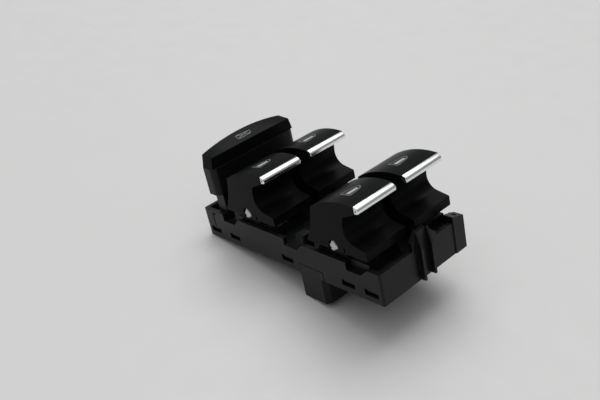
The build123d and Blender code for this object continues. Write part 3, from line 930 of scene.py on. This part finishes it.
class SWITCH_OT_levers(bpy.types.Operator):
    """Makes the four lever caps with their bright strips and white rockers"""
    bl_idname = "switch.levers"
    bl_label = "Levers"

    def execute(self, context):
        sizes = context.scene.mouldings
        for lever in LEVERS:
            round_piece(lever + "_lever", lever + "_cap", sizes.lever_round,
                        button_plastic())
            trim = link_piece(lever + "_trim", strip_mesh(lever, sizes), chrome(),
                              body_of(lever + "_strip"), [lever + "_strip"])
            # The strip's second finish: black moulding that paints the shade inside its end holes
            trim.data.materials.append(base_plastic())
            link_piece(lever + "_slot_collars", collar_mesh(lever), button_plastic(),
                       body_of(lever + "_lever"))
            link_piece(lever + "_rocker_frame", rocker_mesh(lever, sizes.pin_share),
                       rocker_plastic(), body_of(lever + "_rocker"),
                       [lever + "_rocker"])
        return {"FINISHED"}


class SWITCH_OT_lock_button(bpy.types.Operator):
    """Makes the lock button's cap and skirt"""
    bl_idname = "switch.lock_button"
    bl_label = "Lock button"

    def execute(self, context):
        width = context.scene.mouldings.button_round
        round_piece("lock_cap", "lock_button_cap", width, button_plastic())
        round_piece("lock_skirt", "lock_button_skirt", width, base_plastic())
        return {"FINISHED"}


class SWITCH_OT_signs(bpy.types.Operator):
    """Prints the window signs on the levers and the lock button"""
    bl_idname = "switch.signs"
    bl_label = "Window signs"

    def execute(self, context):
        width = context.scene.finishes.sign_width
        for lever in LEVERS:
            place = pivot_of(lever)
            surface = surface_of(bpy.data.objects[lever + "_cap"])
            body = lever + "_switch"
            lines = line_quads(plan(place, WINDOW_OUTLINE), width)
            link_piece(lever + "_sign_line", print_mesh(lever + "_sign_line", surface, lines),
                       sign_line_print(), body)
            pane = [plan(place, WINDOW_PANE)]
            link_piece(lever + "_sign_pane", print_mesh(lever + "_sign_pane", surface, pane),
                       sign_pane_print(), body)
        self.add_lock_sign(width)
        return {"FINISHED"}

    def add_lock_sign(self, width):
        """A crossed window on the lock button."""
        low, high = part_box("lock_cap")
        place = Vector(((low.x + high.x) / 2, 0, 0))
        surface = surface_of(bpy.data.objects["lock_button_cap"])
        lines = line_quads(plan(place, LOCK_OUTLINE), LOCK_LINE_SHARE * width)
        link_piece("lock_sign_line", print_mesh("lock_sign_line", surface, lines),
                   sign_line_print(), "lock_button")
        cross = [plan(place, bar) for bar in LOCK_CROSS]
        link_piece("lock_sign_cross", print_mesh("lock_sign_cross", surface, cross),
                   sign_line_print(), "lock_button")


class SWITCH_OT_contact_mat(bpy.types.Operator):
    """Makes the silicone mat and its domes"""
    bl_idname = "switch.contact_mat"
    bl_label = "Contact mat"

    def execute(self, context):
        whole = cleaned("contact_mat")
        level = mat_level()
        link_piece("mat_sheet", mat_sheet(whole, level + MAT_CUT_RISE * MM), mat_silicone(),
                   "base", ["contact_mat"])
        for number, place in enumerate(dome_places(whole), 1):
            dome = link_piece(f"mat_dome_{number}", dome_mesh(place, level), mat_silicone(),
                              "base")
            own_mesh(dome)
        bpy.data.meshes.remove(whole)
        return {"FINISHED"}


class SWITCH_OT_inside(bpy.types.Operator):
    """Finishes the light guides, the board and what stands on it"""
    bl_idname = "switch.inside"
    bl_label = "Inner pieces"

    def execute(self, context):
        for lever in LEVERS:
            dress(lever + "_light_guide", guide_plastic())
        dress("lock_light_guide", guide_plastic())
        dress("circuit_board", board_laminate())
        dress("connector_pins", pin_metal())
        dress("board_lamps", lamp_plastic())
        dress("control_chip", chip_plastic())
        return {"FINISHED"}


class SWITCH_PT_panel(bpy.types.Panel):
    """Lists the switch's pieces and sizes"""
    bl_idname = "SWITCH_PT_panel"
    bl_label = "Window switch"
    bl_space_type = "VIEW_3D"
    bl_region_type = "UI"
    bl_category = "Window switch"

    def draw(self, context):
        for operator in OPERATORS:
            self.layout.operator(operator.bl_idname)
        for group, owner in ((StageSettings, context.scene.stage),
                             (MouldingSettings, context.scene.mouldings),
                             (FinishSettings, context.scene.finishes)):
            box = self.layout.box()
            for name in group.__annotations__:
                box.prop(owner, name)


OPERATORS = (
    SWITCH_OT_stage,
    SWITCH_OT_housing,
    SWITCH_OT_levers,
    SWITCH_OT_lock_button,
    SWITCH_OT_signs,
    SWITCH_OT_contact_mat,
    SWITCH_OT_inside,
)
GROUPS = (StageSettings, MouldingSettings, FinishSettings)


def register():
    """Registers the classes and hangs the settings on the scene."""
    for kind in GROUPS + OPERATORS + (SWITCH_PT_panel,):
        bpy.utils.register_class(kind)
    bpy.types.Scene.stage = PointerProperty(type=StageSettings)
    bpy.types.Scene.mouldings = PointerProperty(type=MouldingSettings)
    bpy.types.Scene.finishes = PointerProperty(type=FinishSettings)


def unregister():
    """Takes the settings and the classes away again."""
    del bpy.types.Scene.finishes
    del bpy.types.Scene.mouldings
    del bpy.types.Scene.stage
    for kind in reversed(GROUPS + OPERATORS + (SWITCH_PT_panel,)):
        bpy.utils.unregister_class(kind)


def main():
    """Makes the whole switch."""
    register()
    bpy.ops.switch.stage()
    bpy.ops.switch.housing()
    bpy.ops.switch.levers()
    bpy.ops.switch.lock_button()
    bpy.ops.switch.signs()
    bpy.ops.switch.contact_mat()
    bpy.ops.switch.inside()


if __name__ == "__main__":
    main()
